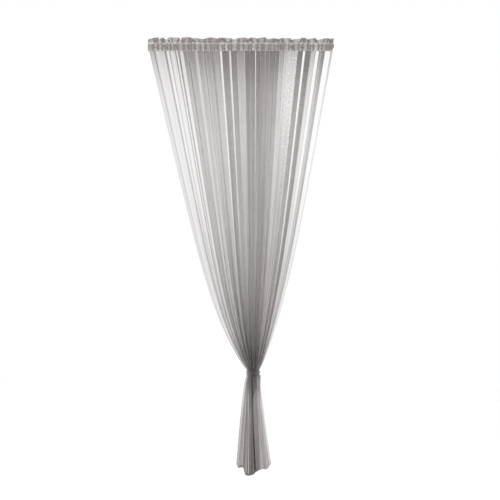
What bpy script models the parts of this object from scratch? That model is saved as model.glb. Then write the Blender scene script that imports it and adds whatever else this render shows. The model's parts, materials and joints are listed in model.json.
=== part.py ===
"""Sheer rod-pocket curtain panel on a telescoping spring tension rod.

Units are metres and +Z is up. The origin is the middle of the left foot's wall face, on the
rod's axis, which runs along +X. The front of the curtain faces -Y.
"""

import math

import bmesh
import bpy
from mathutils import Matrix

# Fits
GAP = 0.0003  # between pieces that touch or that slide on each other
TURNING = 40  # facets round the tie's band
FACETS = 24  # facets round every turned piece
SHARP_ANGLE = math.radians(35.0)  # edges sharper than this stay crisp

# Tension rod
ROD_LENGTH = 0.902  # from wall to wall, over both feet
ROD_TRAVEL = 0.250  # how much longer the rod can be made
OUTER_TUBE_R = 0.008
OUTER_TUBE_LENGTH = 0.600
TUBE_WALL = 0.0008
TUBES_ENGAGED = 0.055  # of the inner tube, left in the outer one at full travel
COLLAR_WALL = 0.0006
COLLAR_FLANGE = 0.004
COLLAR_SLEEVE = 0.015
FOOT_THICKNESS = 0.006
FOOT_ROUND = 0.0008
FOOT_STEM_R = 0.0026
FOOT_STEM_LENGTH = 0.010
PLUG_FLANGE = 0.002
PLUG_LENGTH = 0.022
OUTER_BORE_R = OUTER_TUBE_R - TUBE_WALL
INNER_TUBE_R = OUTER_BORE_R - COLLAR_WALL - 2.0 * GAP
INNER_BORE_R = INNER_TUBE_R - TUBE_WALL

# Screw and spring inside the rod
NUT_WALL = 0.001
NUT_FLANGE = 0.005
NUT_LENGTH = 0.025
TRAVEL_MARGIN = 0.007  # left between the nut and the screw's stop at full travel
GUIDE_WALL = 0.0011
GUIDE_END_WALL = 0.003
SCREW_HEAD_LENGTH = 0.024
SCREW_PILOT_R = 0.0027
SCREW_PILOT_LENGTH = 0.010
SCREW_STOP_LENGTH = 0.005
SPRING_LENGTH = 0.045
SPRING_WIRE_R = 0.0007
SPRING_INSET = 0.0007  # the coil lies this far inside the washer's rim
SPRING_TURNS = 7
SPRING_STEPS = 12  # points on each turn
WASHER_THICKNESS = 0.0015
NUT_SLEEVE_R = INNER_BORE_R - GAP
SCREW_R = NUT_SLEEVE_R - NUT_WALL - GAP
SCREW_HEAD_R = OUTER_BORE_R - GUIDE_WALL - 3.0 * GAP  # over the head's corners
SCREW_STOP_R = INNER_BORE_R - 2.0 * GAP
WASHER_R = OUTER_BORE_R - 2.0 * GAP
WASHER_HOLE_R = SCREW_PILOT_R + GAP
SPRING_COIL_R = WASHER_R - SPRING_INSET - SPRING_WIRE_R  # at the middle of the wire

# Header of the curtain
POCKET_INSET = 0.0015  # each foot stands this far out of the pocket
POCKET_HEIGHT = 0.039  # between the stitched lines above and below the rod
RUCHED_CLOTH = 0.0042  # thickness of the gathered cloth round the rod
POCKET_BULGE = OUTER_TUBE_R + GAP + RUCHED_CLOTH  # in front, behind and above
POCKET_TOP = POCKET_BULGE
POCKET_BOTTOM = POCKET_HEIGHT - POCKET_TOP
HEADING_HEIGHT = 0.0335  # of the ruffle above the pocket
HEADING_HALF_DEPTH = 0.009

# Neck and tie
NECK_X = 0.509
NECK_DROP = 1.586  # from the rod's axis to the middle of the tie
TIE_HALF_HEIGHT = 0.015
TIE_WALL = 0.0025
NECK_HALF_WIDTH = 0.034  # over the tie
NECK_HALF_DEPTH = 0.0238  # over the tie
KNOT_HALF_SIZE = (0.010, 0.006, 0.012)
KNOT_BEVEL = 0.003
KNOT_OVERHANG = 0.0005  # the knot's right side stands this far past the tie
KNOT_OFFSET = NECK_HALF_WIDTH + KNOT_OVERHANG - KNOT_HALF_SIZE[0]  # to the knot's middle
TIE_END_HALF_WIDTH = 0.004
TIE_END_THICKNESS = 0.003
TIE_END_RIGHT_LENGTH = 0.092
TIE_END_BACK_LENGTH = 0.070
TIE_END_SPREAD = 0.015  # between the middles of the two ends

# Drape, from the pocket down to the tie
DRAPE_TOP_MARGIN = 0.003  # the drape starts this far in from the pocket's ends
LEFT_SLOPE = 0.238  # how fast the left edge leans in, per metre of drop
LEFT_POWER = 7.0  # how late the left edge bends in to the tie
RIGHT_SLOPE = 0.180
RIGHT_POWER = 5.0
DRAPE_HALF_DEPTHS = (0.009, 0.013, 0.020)  # at the pocket, half-way and above the tie
DRAPE_EDGE_SHARE = 0.25  # of the depth, left at the side edges
DRAPE_ROWS = 14
CLOTH_COLUMNS = 13
BULGE_OVER_TIE = 0.005  # the bundle stands this far past the tie just above it, on each side
BULGE_HEIGHT = 0.008
SIDE_HEM_TOP = 0.022  # width of the gathered side hem under the pocket
SIDE_HEM_FOOT = 0.004  # and where it goes into the bundle
SIDE_HEM_END = 0.050  # the side hems end this far above the tie's middle

# Tail, below the tie
TAIL_SWING_CLEARANCE = 0.0006  # between the tie's corners and the arc over the tail
TAIL_FLARE_LEFT = 0.048
TAIL_FLARE_RIGHT = 0.0566
TAIL_LEFT_POWER = 0.65
TAIL_HALF_DEPTHS = (0.0225, 0.034)  # at its top and at its bottom
TAIL_EDGE_SHARE = 0.30
TAIL_ROWS = 8
TAIL_HEM_WIDTHS = (0.004, 0.014)  # at its top and at its bottom
BOTTOM_HEM = 0.015
# The uneven hem: (distance from the neck's middle, drop below the tie's middle)
HEM_LINE = (
    (-0.090, 0.444),
    (-0.050, 0.453),
    (-0.031, 0.498),
    (0.000, 0.5005),
    (0.030, 0.466),
    (0.060, 0.464),
    (0.095, 0.449),
)

# Colours: (red, green, blue), roughness, metallic
CLOTH = ((0.42, 0.40, 0.39), 0.9, 0.0)
HEM_CLOTH = ((0.34, 0.32, 0.31), 0.9, 0.0)
TIE_CLOTH = ((0.30, 0.29, 0.28), 0.9, 0.0)
TUBE_PAINT = ((0.80, 0.80, 0.79), 0.35, 0.1)
WHITE_PLASTIC = ((0.78, 0.78, 0.76), 0.5, 0.0)
GREY_RUBBER = ((0.35, 0.35, 0.35), 0.8, 0.0)
SPRING_STEEL = ((0.55, 0.56, 0.58), 0.3, 1.0)


def clear_scene():
    for thing in list(bpy.data.objects):
        bpy.data.objects.remove(thing, do_unlink=True)


def material_of(name, look):
    colour, roughness, metallic = look
    material = bpy.data.materials.new(name)
    material.use_nodes = True
    shader = material.node_tree.nodes["Principled BSDF"]
    shader.inputs["Base Color"].default_value = (*colour, 1.0)
    shader.inputs["Roughness"].default_value = roughness
    shader.inputs["Metallic"].default_value = metallic
    return material


def empty_at(name, place, parent=None):
    """An empty on a joint's axis, which carries the pieces that move with it."""
    empty = bpy.data.objects.new(name, None)
    empty.empty_display_size = 0.02
    bpy.context.scene.collection.objects.link(empty)
    empty.parent = parent
    empty.matrix_world = Matrix.Translation(place)
    bpy.context.view_layer.update()
    return empty


def add_object(name, bm, look, parent):
    """Link a finished mesh, built in world coordinates, under the empty that carries it."""
    bmesh.ops.recalc_face_normals(bm, faces=bm.faces)
    mesh = bpy.data.meshes.new(name)
    bm.to_mesh(mesh)
    bm.free()
    mesh.shade_smooth()
    mesh.set_sharp_from_angle(angle=SHARP_ANGLE)
    mesh.transform(parent.matrix_world.inverted())
    thing = bpy.data.objects.new(name, mesh)
    mesh.materials.append(material_of(name, look))
    bpy.context.scene.collection.objects.link(thing)
    thing.parent = parent
    return thing


def turned(profile):
    """Spin a closed outline of (along the rod, radius) points about the rod's axis."""
    bm = bmesh.new()
    verts = [bm.verts.new((x, 0.0, r)) for x, r in profile]
    on_axis = min(r for _, r in profile) <= 0.0
    edges = [bm.edges.new(pair) for pair in zip(verts, verts[1:])]
    if not on_axis:
        edges.append(bm.edges.new((verts[-1], verts[0])))
    bmesh.ops.spin(
        bm,
        geom=verts + edges,
        axis=(1.0, 0.0, 0.0),
        cent=(0.0, 0.0, 0.0),
        steps=FACETS,
        angle=2.0 * math.pi,
        use_merge=False,
    )
    bmesh.ops.remove_doubles(bm, verts=bm.verts, dist=0.00001)
    bmesh.ops.dissolve_degenerate(bm, edges=bm.edges, dist=0.000001)
    return bm


def ringed(rings, solid):
    """Join rings of (along the rod, radius, six-sided) round the rod's axis.

    A solid is capped at both ends. Otherwise the last ring joins the first, round a bore.
    """
    bm = bmesh.new()
    loops = []
    for x, r, six_sided in rings:
        loop = []
        for n in range(FACETS):
            angle = 2.0 * math.pi * n / FACETS
            off_flat = angle % (math.pi / 3.0) - math.pi / 6.0
            reach = r * math.cos(math.pi / 6.0) / math.cos(off_flat) if six_sided else r
            loop.append(bm.verts.new((x, -reach * math.sin(angle), reach * math.cos(angle))))
        loops.append(loop)
    following = loops[1:] if solid else loops[1:] + loops[:1]
    for near, far in zip(loops, following):
        for n in range(FACETS):
            bm.faces.new((near[n - 1], near[n], far[n], far[n - 1]))
    if solid:
        bm.faces.new(loops[0])
        bm.faces.new(reversed(loops[-1]))
    return bm


def extruded(section, start, length):
    """Run a closed outline of (y, z) points along the rod."""
    bm = bmesh.new()
    verts = [bm.verts.new((start, y, z)) for y, z in section]
    face = bm.faces.new(verts)
    run = bmesh.ops.extrude_face_region(bm, geom=[face])
    moved = [part for part in run["geom"] if isinstance(part, bmesh.types.BMVert)]
    bmesh.ops.translate(bm, verts=moved, vec=(length, 0.0, 0.0))
    return bm


def lofted(rows):
    """Close a cloth solid over rows of (x, z, half depth) columns, from top to bottom."""
    bm = bmesh.new()
    front = [[bm.verts.new((x, -d, z)) for x, z, d in row] for row in rows]
    back = [[bm.verts.new((x, d, z)) for x, z, d in row] for row in rows]
    for side in (front, back):
        for upper, lower in zip(side, side[1:]):
            for n in range(len(upper) - 1):
                bm.faces.new((upper[n], upper[n + 1], lower[n + 1], lower[n]))
    for row in (0, -1):
        for n in range(len(front[row]) - 1):
            near, far = front[row], back[row]
            bm.faces.new((near[n], near[n + 1], far[n + 1], far[n]))
    for column in (0, -1):
        for n in range(len(rows) - 1):
            near, far = front[n][column], back[n][column]
            near_below, far_below = front[n + 1][column], back[n + 1][column]
            bm.faces.new((near, near_below, far_below, far))
    bmesh.ops.triangulate(bm, faces=bm.faces)
    return bm


def mix(low, high, share):
    return low + (high - low) * share


def steps(low, high, count):
    return [mix(low, high, n / (count - 1)) for n in range(count)]


# ---------------------------------------------------------------- tension rod


def tube_start():
    """Where the outer tube begins, behind its foot and its plug's flange."""
    return FOOT_THICKNESS + GAP + PLUG_FLANGE + GAP


def mouth():
    """The outer tube's open end."""
    return tube_start() + OUTER_TUBE_LENGTH


def inner_tube_start():
    return mouth() - ROD_TRAVEL - TUBES_ENGAGED


def inner_tube_end():
    return ROD_LENGTH - tube_start()


def tube(name, start, end, outside, bore, parent):
    wall = [(start, outside), (end, outside), (end, bore), (start, bore)]
    add_object(name, turned(wall), TUBE_PAINT, parent)


def tube_collar(parent):
    """A flanged bush in the outer tube's mouth, round the inner tube."""
    inside = mouth() - COLLAR_SLEEVE
    flange = mouth() + GAP
    hole = INNER_TUBE_R + GAP
    sleeve = OUTER_BORE_R - GAP
    outline = [
        (inside, hole),
        (inside, sleeve),
        (flange, sleeve),
        (flange, OUTER_TUBE_R),
        (flange + COLLAR_FLANGE, OUTER_TUBE_R),
        (flange + COLLAR_FLANGE, hole),
    ]
    add_object("tube_collar", turned(outline), WHITE_PLASTIC, parent)


def plug(name, side, tube_r, parent):
    """A plug in a tube's outer end, with a flange over the tube and a hole for the foot's stem.

    side is +1 at the left wall, where the rod runs away along +X, and -1 at the right wall.
    """
    wall = 0.0 if side > 0 else ROD_LENGTH
    body = tube_r - TUBE_WALL - GAP
    hole = FOOT_STEM_R + GAP
    flange = FOOT_THICKNESS + GAP
    shoulder = flange + PLUG_FLANGE + GAP
    blind = FOOT_THICKNESS + FOOT_STEM_LENGTH + GAP
    outline = [
        (blind, 0.0),
        (blind, hole),
        (flange, hole),
        (flange, tube_r),
        (flange + PLUG_FLANGE, tube_r),
        (flange + PLUG_FLANGE, body),
        (shoulder + PLUG_LENGTH, body),
        (shoulder + PLUG_LENGTH, 0.0),
    ]
    bm = turned([(wall + side * x, r) for x, r in outline])
    add_object(name, bm, WHITE_PLASTIC, parent)


def foot(name, side, parent):
    """A rubber foot with a flat wall face and a stem that turns in its plug."""
    wall = 0.0 if side > 0 else ROD_LENGTH
    rim = OUTER_TUBE_R
    stem = FOOT_THICKNESS + FOOT_STEM_LENGTH
    outline = [
        (0.0, 0.0),
        (0.0, rim - FOOT_ROUND),
        (FOOT_ROUND, rim),
        (FOOT_THICKNESS, rim),
        (FOOT_THICKNESS, FOOT_STEM_R),
        (stem, FOOT_STEM_R),
        (stem, 0.0),
    ]
    bm = turned([(wall + side * x, r) for x, r in outline])
    add_object(name, bm, GREY_RUBBER, parent)


def spring_start():
    return tube_start() + PLUG_LENGTH + GAP


def washer_start():
    return spring_start() + SPRING_LENGTH + GAP


def guide_start():
    return washer_start() + WASHER_THICKNESS + GAP


def nut_start():
    """The nut's flange lies just inside the inner tube's inner end."""
    return inner_tube_start() - GAP - NUT_FLANGE


def tension_spring(parent):
    """A compression spring between the left plug and the washer: a wire along a helix."""
    rise = SPRING_LENGTH - 2.0 * SPRING_WIRE_R
    count = SPRING_TURNS * SPRING_STEPS + 1
    curve = bpy.data.curves.new("tension_spring", "CURVE")
    curve.dimensions = "3D"
    curve.bevel_depth = SPRING_WIRE_R
    curve.bevel_resolution = 1
    curve.use_fill_caps = True
    spline = curve.splines.new("POLY")
    spline.points.add(count - 1)
    start = spring_start() + SPRING_WIRE_R
    for n, point in enumerate(spline.points):
        angle = 2.0 * math.pi * n / SPRING_STEPS
        x = start + rise * n / (count - 1)
        point.co = (
            x - parent.matrix_world.translation.x,
            SPRING_COIL_R * math.sin(angle),
            SPRING_COIL_R * math.cos(angle),
            1.0,
        )
    curve.materials.append(material_of("tension_spring", SPRING_STEEL))
    wire = bpy.data.objects.new("tension_spring", curve)
    bpy.context.scene.collection.objects.link(wire)
    wire.parent = parent


def spring_washer(parent):
    start = washer_start()
    end = start + WASHER_THICKNESS
    ring = [
        (start, WASHER_R),
        (end, WASHER_R),
        (end, WASHER_HOLE_R),
        (start, WASHER_HOLE_R),
    ]
    add_object("spring_washer", turned(ring), SPRING_STEEL, parent)


def drive_screw(parent):
    """The screw: a six-sided head with a pilot pin, a long shaft and a stop at its tip."""
    head = guide_start()
    shaft = head + SCREW_HEAD_LENGTH - GAP
    stop = nut_start() + NUT_FLANGE + NUT_LENGTH + ROD_TRAVEL + TRAVEL_MARGIN
    tip = stop + SCREW_STOP_LENGTH
    rings = [
        (head - SCREW_PILOT_LENGTH, SCREW_PILOT_R, False),
        (head, SCREW_PILOT_R, False),
        (head, SCREW_HEAD_R, True),
        (shaft, SCREW_HEAD_R, True),
        (shaft, SCREW_R, False),
        (stop, SCREW_R, False),
        (stop, SCREW_STOP_R, False),
        (tip, SCREW_STOP_R, False),
    ]
    add_object("drive_screw", ringed(rings, solid=True), WHITE_PLASTIC, parent)


def screw_guide(parent):
    """A block in the outer tube whose six-sided bore lets the screw's head slide, not turn."""
    start = guide_start()
    shelf = start + SCREW_HEAD_LENGTH
    end = shelf + GUIDE_END_WALL
    bore = SCREW_HEAD_R + 2.0 * GAP
    hole = SCREW_R + GAP
    outside = OUTER_BORE_R - GAP
    rings = [
        (start, outside, False),
        (end, outside, False),
        (end, hole, False),
        (shelf, hole, False),
        (shelf, bore, True),
        (start, bore, True),
    ]
    add_object("screw_guide", ringed(rings, solid=False), WHITE_PLASTIC, parent)


def screw_nut(parent):
    """The nut: a flange that guides in the outer tube and a sleeve fixed in the inner one."""
    start = nut_start()
    shoulder = start + NUT_FLANGE
    end = shoulder + NUT_LENGTH
    bore = SCREW_R + GAP
    outline = [
        (start, bore),
        (start, OUTER_BORE_R - GAP),
        (shoulder, OUTER_BORE_R - GAP),
        (shoulder, NUT_SLEEVE_R),
        (end, NUT_SLEEVE_R),
        (end, bore),
    ]
    add_object("screw_nut", turned(outline), WHITE_PLASTIC, parent)


# ---------------------------------------------------------------- header


def pocket_wall(name, side, parent):
    """One wall of the rod pocket: a half round channel over the rod that closes below it."""
    bore = OUTER_TUBE_R + GAP
    seam = GAP / 2.0
    channel = [
        (bore * math.sin(a), bore * math.cos(a)) for a in steps(0.0, math.pi, FACETS // 2 + 1)
    ]
    channel[0] = (seam, bore)
    channel[-1] = (seam, -bore)
    outside = [
        (seam, -POCKET_BOTTOM),
        (0.35 * POCKET_BULGE, -POCKET_BOTTOM),
        (0.75 * POCKET_BULGE, -0.65 * POCKET_BOTTOM),
        (POCKET_BULGE, -0.30 * POCKET_BOTTOM),
        (POCKET_BULGE, 0.35 * POCKET_TOP),
        (0.75 * POCKET_BULGE, 0.85 * POCKET_TOP),
        (0.45 * POCKET_BULGE, POCKET_TOP),
        (seam, POCKET_TOP),
    ]
    section = [(side * y, z) for y, z in channel + outside]
    bm = extruded(section, POCKET_INSET, ROD_LENGTH - 2.0 * POCKET_INSET)
    add_object(name, bm, HEM_CLOTH, parent)


def heading_ruffle(parent):
    """The doubled cloth above the pocket, narrower at its top edge."""
    foot_z = POCKET_TOP + GAP
    top = POCKET_TOP + HEADING_HEIGHT
    # (share of the half depth, share of the height), up the back of the ruffle
    outline = ((0.5, 0.0), (1.0, 0.3), (1.0, 0.85), (0.5, 1.0))
    section = [(s * HEADING_HALF_DEPTH, mix(foot_z, top, h)) for s, h in outline]
    section += [(-y, z) for y, z in reversed(section)]
    bm = extruded(section, POCKET_INSET, ROD_LENGTH - 2.0 * POCKET_INSET)
    add_object("heading_ruffle", bm, CLOTH, parent)


# ---------------------------------------------------------------- drape


def drape_top():
    return -(POCKET_BOTTOM + GAP)


def bundle_top():
    """The height where the gathered cloth starts to narrow into the tie."""
    return -(NECK_DROP - TIE_HALF_HEIGHT - BULGE_HEIGHT)


def inside_tie():
    """Half-width and half-depth of the cloth that fills the tie's band."""
    return NECK_HALF_WIDTH - TIE_WALL - GAP, NECK_HALF_DEPTH - TIE_WALL - GAP


def tail_arc_radius():
    """The tail's top is an arc of this radius about its hinge, outside the tie's corners."""
    return math.hypot(NECK_HALF_WIDTH, TIE_HALF_HEIGHT) + TAIL_SWING_CLEARANCE


def drape_edges(z):
    """Left and right edges at a height: a straight lean, and a late bend in to the tie."""
    drop = drape_top() - z
    full = drape_top() - bundle_top()
    left = POCKET_INSET + DRAPE_TOP_MARGIN
    right = ROD_LENGTH - POCKET_INSET - DRAPE_TOP_MARGIN
    bundle = NECK_HALF_WIDTH + BULGE_OVER_TIE
    left_pinch = NECK_X - bundle - left - LEFT_SLOPE * full
    right_pinch = right - RIGHT_SLOPE * full - NECK_X - bundle
    left += LEFT_SLOPE * drop + left_pinch * (drop / full) ** LEFT_POWER
    right -= RIGHT_SLOPE * drop + right_pinch * (drop / full) ** RIGHT_POWER
    return left, right


def drape_depth(z):
    """Half depth of the folds at a height."""
    share = (drape_top() - z) / (drape_top() - bundle_top())
    top, middle, foot_depth = DRAPE_HALF_DEPTHS
    if share < 0.5:
        return mix(top, middle, share * 2.0)
    return mix(middle, foot_depth, share * 2.0 - 1.0)


def edge_share(u, kept):
    """The share of the depth at u, from -1 at the left edge to 1 at the right."""
    return max(kept, math.sqrt(max(0.0, 1.0 - abs(u) ** 4)))


def hem_width(z):
    end = -(NECK_DROP - SIDE_HEM_END)
    share = (drape_top() - z) / (drape_top() - end)
    return mix(SIDE_HEM_TOP, SIDE_HEM_FOOT, share)


def cloth_row(xs, z, edges, depth, kept):
    """Columns of (x, z, half depth) at one height, for cloth that fills between the edges."""
    middle = (edges[0] + edges[1]) / 2.0
    half = (edges[1] - edges[0]) / 2.0
    return [(x, z, depth * edge_share((x - middle) / half, kept)) for x in xs]


def drape_panel(parent):
    hem_end = -(NECK_DROP - SIDE_HEM_END)
    rows = []
    for z in steps(drape_top(), hem_end, DRAPE_ROWS):
        left, right = drape_edges(z)
        inset = hem_width(z) + GAP
        xs = steps(left + inset, right - inset, CLOTH_COLUMNS)
        rows.append(cloth_row(xs, z, (left, right), drape_depth(z), DRAPE_EDGE_SHARE))
    for z in steps(hem_end - SIDE_HEM_FOOT, bundle_top(), 3):
        left, right = drape_edges(z)
        xs = steps(left, right, CLOTH_COLUMNS)
        rows.append(cloth_row(xs, z, (left, right), drape_depth(z), DRAPE_EDGE_SHARE))
    # through the tie's band, and a round end that the tail swings on
    half_width, half_depth = inside_tie()
    swing = tail_arc_radius() - GAP
    us = steps(-1.0, 1.0, CLOTH_COLUMNS)
    depths = [half_depth * max(0.1, math.sqrt(1.0 - u * u)) for u in us]
    for z in (-(NECK_DROP - TIE_HALF_HEIGHT), -(NECK_DROP + TIE_HALF_HEIGHT)):
        rows.append([(NECK_X + half_width * u, z, d) for u, d in zip(us, depths)])
    arc = [-NECK_DROP - math.sqrt(swing**2 - (half_width * u) ** 2) for u in us]
    rows.append([(NECK_X + half_width * u, z, d) for u, z, d in zip(us, arc, depths)])
    add_object("drape_panel", lofted(rows), CLOTH, parent)


def side_hem(name, side, parent):
    """The turned hem down one side of the drape. side is -1 at the left and +1 at the right."""
    rows = []
    for z in steps(drape_top(), -(NECK_DROP - SIDE_HEM_END), DRAPE_ROWS):
        edges = drape_edges(z)
        if side < 0:
            xs = steps(edges[0], edges[0] + hem_width(z), 3)
        else:
            xs = steps(edges[1] - hem_width(z), edges[1], 3)
        rows.append(cloth_row(xs, z, edges, drape_depth(z), DRAPE_EDGE_SHARE))
    add_object(name, lofted(rows), HEM_CLOTH, parent)


# ---------------------------------------------------------------- tail


def hem_drop(x):
    """How far the uneven hem hangs below the rod's axis, at a distance from the neck's middle."""
    for (x0, drop0), (x1, drop1) in zip(HEM_LINE, HEM_LINE[1:]):
        if x <= x1:
            return NECK_DROP + mix(drop0, drop1, max(0.0, (x - x0) / (x1 - x0)))
    return NECK_DROP + HEM_LINE[-1][1]


def tail_edges(share):
    """Half-widths to the left and to the right, at a share of the way down the tail."""
    left = NECK_HALF_WIDTH + TAIL_FLARE_LEFT * share**TAIL_LEFT_POWER
    right = NECK_HALF_WIDTH + TAIL_FLARE_RIGHT * share
    return -left, right


def tail_top(x):
    """The top of the tail is an arc about its hinge, so it swings clear of the tie."""
    return NECK_DROP + math.sqrt(tail_arc_radius() ** 2 - x * x)


def tail_columns(side, share):
    """Distances from the neck's middle of a panel's or a hem's columns (side 0, -1 or +1)."""
    left, right = tail_edges(share)
    hem = mix(*TAIL_HEM_WIDTHS, share)
    if side < 0:
        return steps(left, left + hem, 3)
    if side > 0:
        return steps(right - hem, right, 3)
    return steps(left + hem + GAP, right - hem - GAP, CLOTH_COLUMNS)


def tail_point(x, share, top_x, raised):
    """One column of the tail at a share of its length, with its foot raised over the hem.

    top_x is where the same column starts, on the arc under the tie.
    """
    top = tail_top(top_x)
    left, right = tail_edges(share)
    u = (x - (left + right) / 2.0) / ((right - left) / 2.0)
    depth = mix(*TAIL_HALF_DEPTHS, share) * edge_share(u, TAIL_EDGE_SHARE)
    drop = mix(top, hem_drop(x) - raised, share)
    return NECK_X + x, -drop, depth


def tail_solid(name, side, look, parent):
    """The tail between its side hems, or one of the hems, down to the bottom hem."""
    rows = []
    top_xs = tail_columns(side, 0.0)
    for share in steps(0.0, 1.0, TAIL_ROWS):
        xs = tail_columns(side, share)
        rows.append(
            [tail_point(x, share, top_x, BOTTOM_HEM + GAP) for x, top_x in zip(xs, top_xs)]
        )
    add_object(name, lofted(rows), look, parent)


def bottom_hem(parent):
    """The turned hem along the whole bottom edge, under the tail and its side hems."""
    edges = tail_edges(1.0)
    stations = tail_columns(-1, 1.0) + tail_columns(0, 1.0) + tail_columns(1, 1.0)
    xs = sorted(stations)
    depth = TAIL_HALF_DEPTHS[1]
    rows = []
    for raised in (BOTTOM_HEM, 0.0):
        row = []
        for x in xs:
            u = (x - (edges[0] + edges[1]) / 2.0) / ((edges[1] - edges[0]) / 2.0)
            half = depth * edge_share(u, TAIL_EDGE_SHARE)
            row.append((NECK_X + x, -(hem_drop(x) - raised), half))
        rows.append(row)
    add_object("bottom_hem", lofted(rows), HEM_CLOTH, parent)


# ---------------------------------------------------------------- tie


def tie_band(parent):
    """An oval band round the neck."""
    bm = bmesh.new()
    rings = []
    for half_width, half_depth, z in (
        (NECK_HALF_WIDTH, NECK_HALF_DEPTH, TIE_HALF_HEIGHT),
        (NECK_HALF_WIDTH, NECK_HALF_DEPTH, -TIE_HALF_HEIGHT),
        (NECK_HALF_WIDTH - TIE_WALL, NECK_HALF_DEPTH - TIE_WALL, -TIE_HALF_HEIGHT),
        (NECK_HALF_WIDTH - TIE_WALL, NECK_HALF_DEPTH - TIE_WALL, TIE_HALF_HEIGHT),
    ):
        angles = [2.0 * math.pi * n / TURNING for n in range(TURNING)]
        rings.append(
            [
                bm.verts.new(
                    (NECK_X + half_width * math.cos(a), half_depth * math.sin(a), z - NECK_DROP)
                )
                for a in angles
            ]
        )
    for near, far in zip(rings, rings[1:] + rings[:1]):
        for n in range(TURNING):
            bm.faces.new((near[n - 1], near[n], far[n], far[n - 1]))
    add_object("tie_band", bm, TIE_CLOTH, parent)


def knot_middle():
    """The knot lies behind the band: its flat front meets the curve of the band's back."""
    half_x, half_y, _ = KNOT_HALF_SIZE
    inner = (KNOT_OFFSET - half_x + KNOT_BEVEL) / NECK_HALF_WIDTH
    band = NECK_HALF_DEPTH * math.sqrt(1.0 - inner**2)
    return NECK_X + KNOT_OFFSET, band + GAP + half_y, -NECK_DROP


def tie_knot(parent):
    """A rounded block: a cube whose edges are bevelled."""
    bm = bmesh.new()
    bmesh.ops.create_cube(bm, size=2.0)
    bmesh.ops.scale(bm, vec=KNOT_HALF_SIZE, verts=bm.verts)
    bmesh.ops.bevel(
        bm,
        geom=list(bm.edges),
        offset=KNOT_BEVEL,
        segments=2,
        affect="EDGES",
        profile=0.5,
    )
    bmesh.ops.translate(bm, verts=bm.verts, vec=knot_middle())
    add_object("tie_knot", bm, TIE_CLOTH, parent)


def tie_end_pivot(place):
    """The hinge of one loose end, just under the knot. place is 0 at the right, 1 behind."""
    x, y, z = knot_middle()
    pitch = TIE_END_THICKNESS + 2.0 * GAP
    side = KNOT_HALF_SIZE[0] - TIE_END_HALF_WIDTH / 4.0 - place * TIE_END_SPREAD
    depth = y - KNOT_HALF_SIZE[1] / 2.0 + place * pitch + TIE_END_THICKNESS
    return x + side, depth, z - KNOT_HALF_SIZE[2] - GAP - TIE_END_HALF_WIDTH


def tie_end(name, place, length, parent):
    """A flat strip that hangs from a round top, centred on its hinge."""
    x, y, z = tie_end_pivot(place)
    half = TIE_END_HALF_WIDTH
    outline = [(half * math.cos(a), half * math.sin(a)) for a in steps(0.0, math.pi, 9)]
    outline += [(-half, -length + half), (half, -length)]
    bm = bmesh.new()
    near = y - TIE_END_THICKNESS / 2.0
    face = bm.faces.new([bm.verts.new((x + dx, near, z + dz)) for dx, dz in outline])
    run = bmesh.ops.extrude_face_region(bm, geom=[face])
    moved = [part for part in run["geom"] if isinstance(part, bmesh.types.BMVert)]
    bmesh.ops.translate(bm, verts=moved, vec=(0.0, TIE_END_THICKNESS, 0.0))
    add_object(name, bm, TIE_CLOTH, parent)


# ---------------------------------------------------------------- assembly


def build_rod(rod):
    tube("outer_tube", tube_start(), mouth(), OUTER_TUBE_R, OUTER_BORE_R, rod)
    tube_collar(rod)
    plug("left_plug", 1, OUTER_TUBE_R, rod)
    foot("left_foot", 1, rod)
    screw_guide(rod)
    tension_spring(rod)
    screw = empty_at("screw_slide", (guide_start(), 0.0, 0.0), rod)
    drive_screw(screw)
    spring_washer(screw)
    extension = empty_at("rod_extension", (ROD_LENGTH, 0.0, 0.0), screw)
    foot("right_foot", -1, extension)
    twist = empty_at("tube_twist", (inner_tube_end(), 0.0, 0.0), extension)
    tube("inner_tube", inner_tube_start(), inner_tube_end(), INNER_TUBE_R, INNER_BORE_R, twist)
    plug("right_plug", -1, INNER_TUBE_R, twist)
    screw_nut(twist)


def build_curtain(rod):
    curtain = empty_at("curtain_hinge", (ROD_LENGTH / 2.0, 0.0, 0.0), rod)
    heading_ruffle(curtain)
    pocket_wall("rod_pocket_front", -1, curtain)
    pocket_wall("rod_pocket_back", 1, curtain)
    drape_panel(curtain)
    side_hem("left_side_hem", -1, curtain)
    side_hem("right_side_hem", 1, curtain)
    tie_band(curtain)
    tie_knot(curtain)
    tail = empty_at("tail_hinge", (NECK_X, 0.0, -NECK_DROP), curtain)
    tail_solid("tail_panel", 0, CLOTH, tail)
    tail_solid("tail_left_hem", -1, HEM_CLOTH, tail)
    tail_solid("tail_right_hem", 1, HEM_CLOTH, tail)
    bottom_hem(tail)
    right_end = empty_at("right_end_hinge", tie_end_pivot(0), curtain)
    tie_end("tie_end_right", 0, TIE_END_RIGHT_LENGTH, right_end)
    back_end = empty_at("back_end_hinge", tie_end_pivot(1), curtain)
    tie_end("tie_end_back", 1, TIE_END_BACK_LENGTH, back_end)


clear_scene()
rod_base = empty_at("rod_base", (0.0, 0.0, 0.0))
build_rod(rod_base)
build_curtain(rod_base)
bpy.context.view_layer.update()
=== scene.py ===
"""Looks of a sheer rod-pocket curtain that hangs gathered on a tension rod and is tied low.

Every length is in metres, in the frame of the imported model: +X runs along the rod, +Z is up and
the curtain's front faces -Y.
"""

import json
import math

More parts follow.
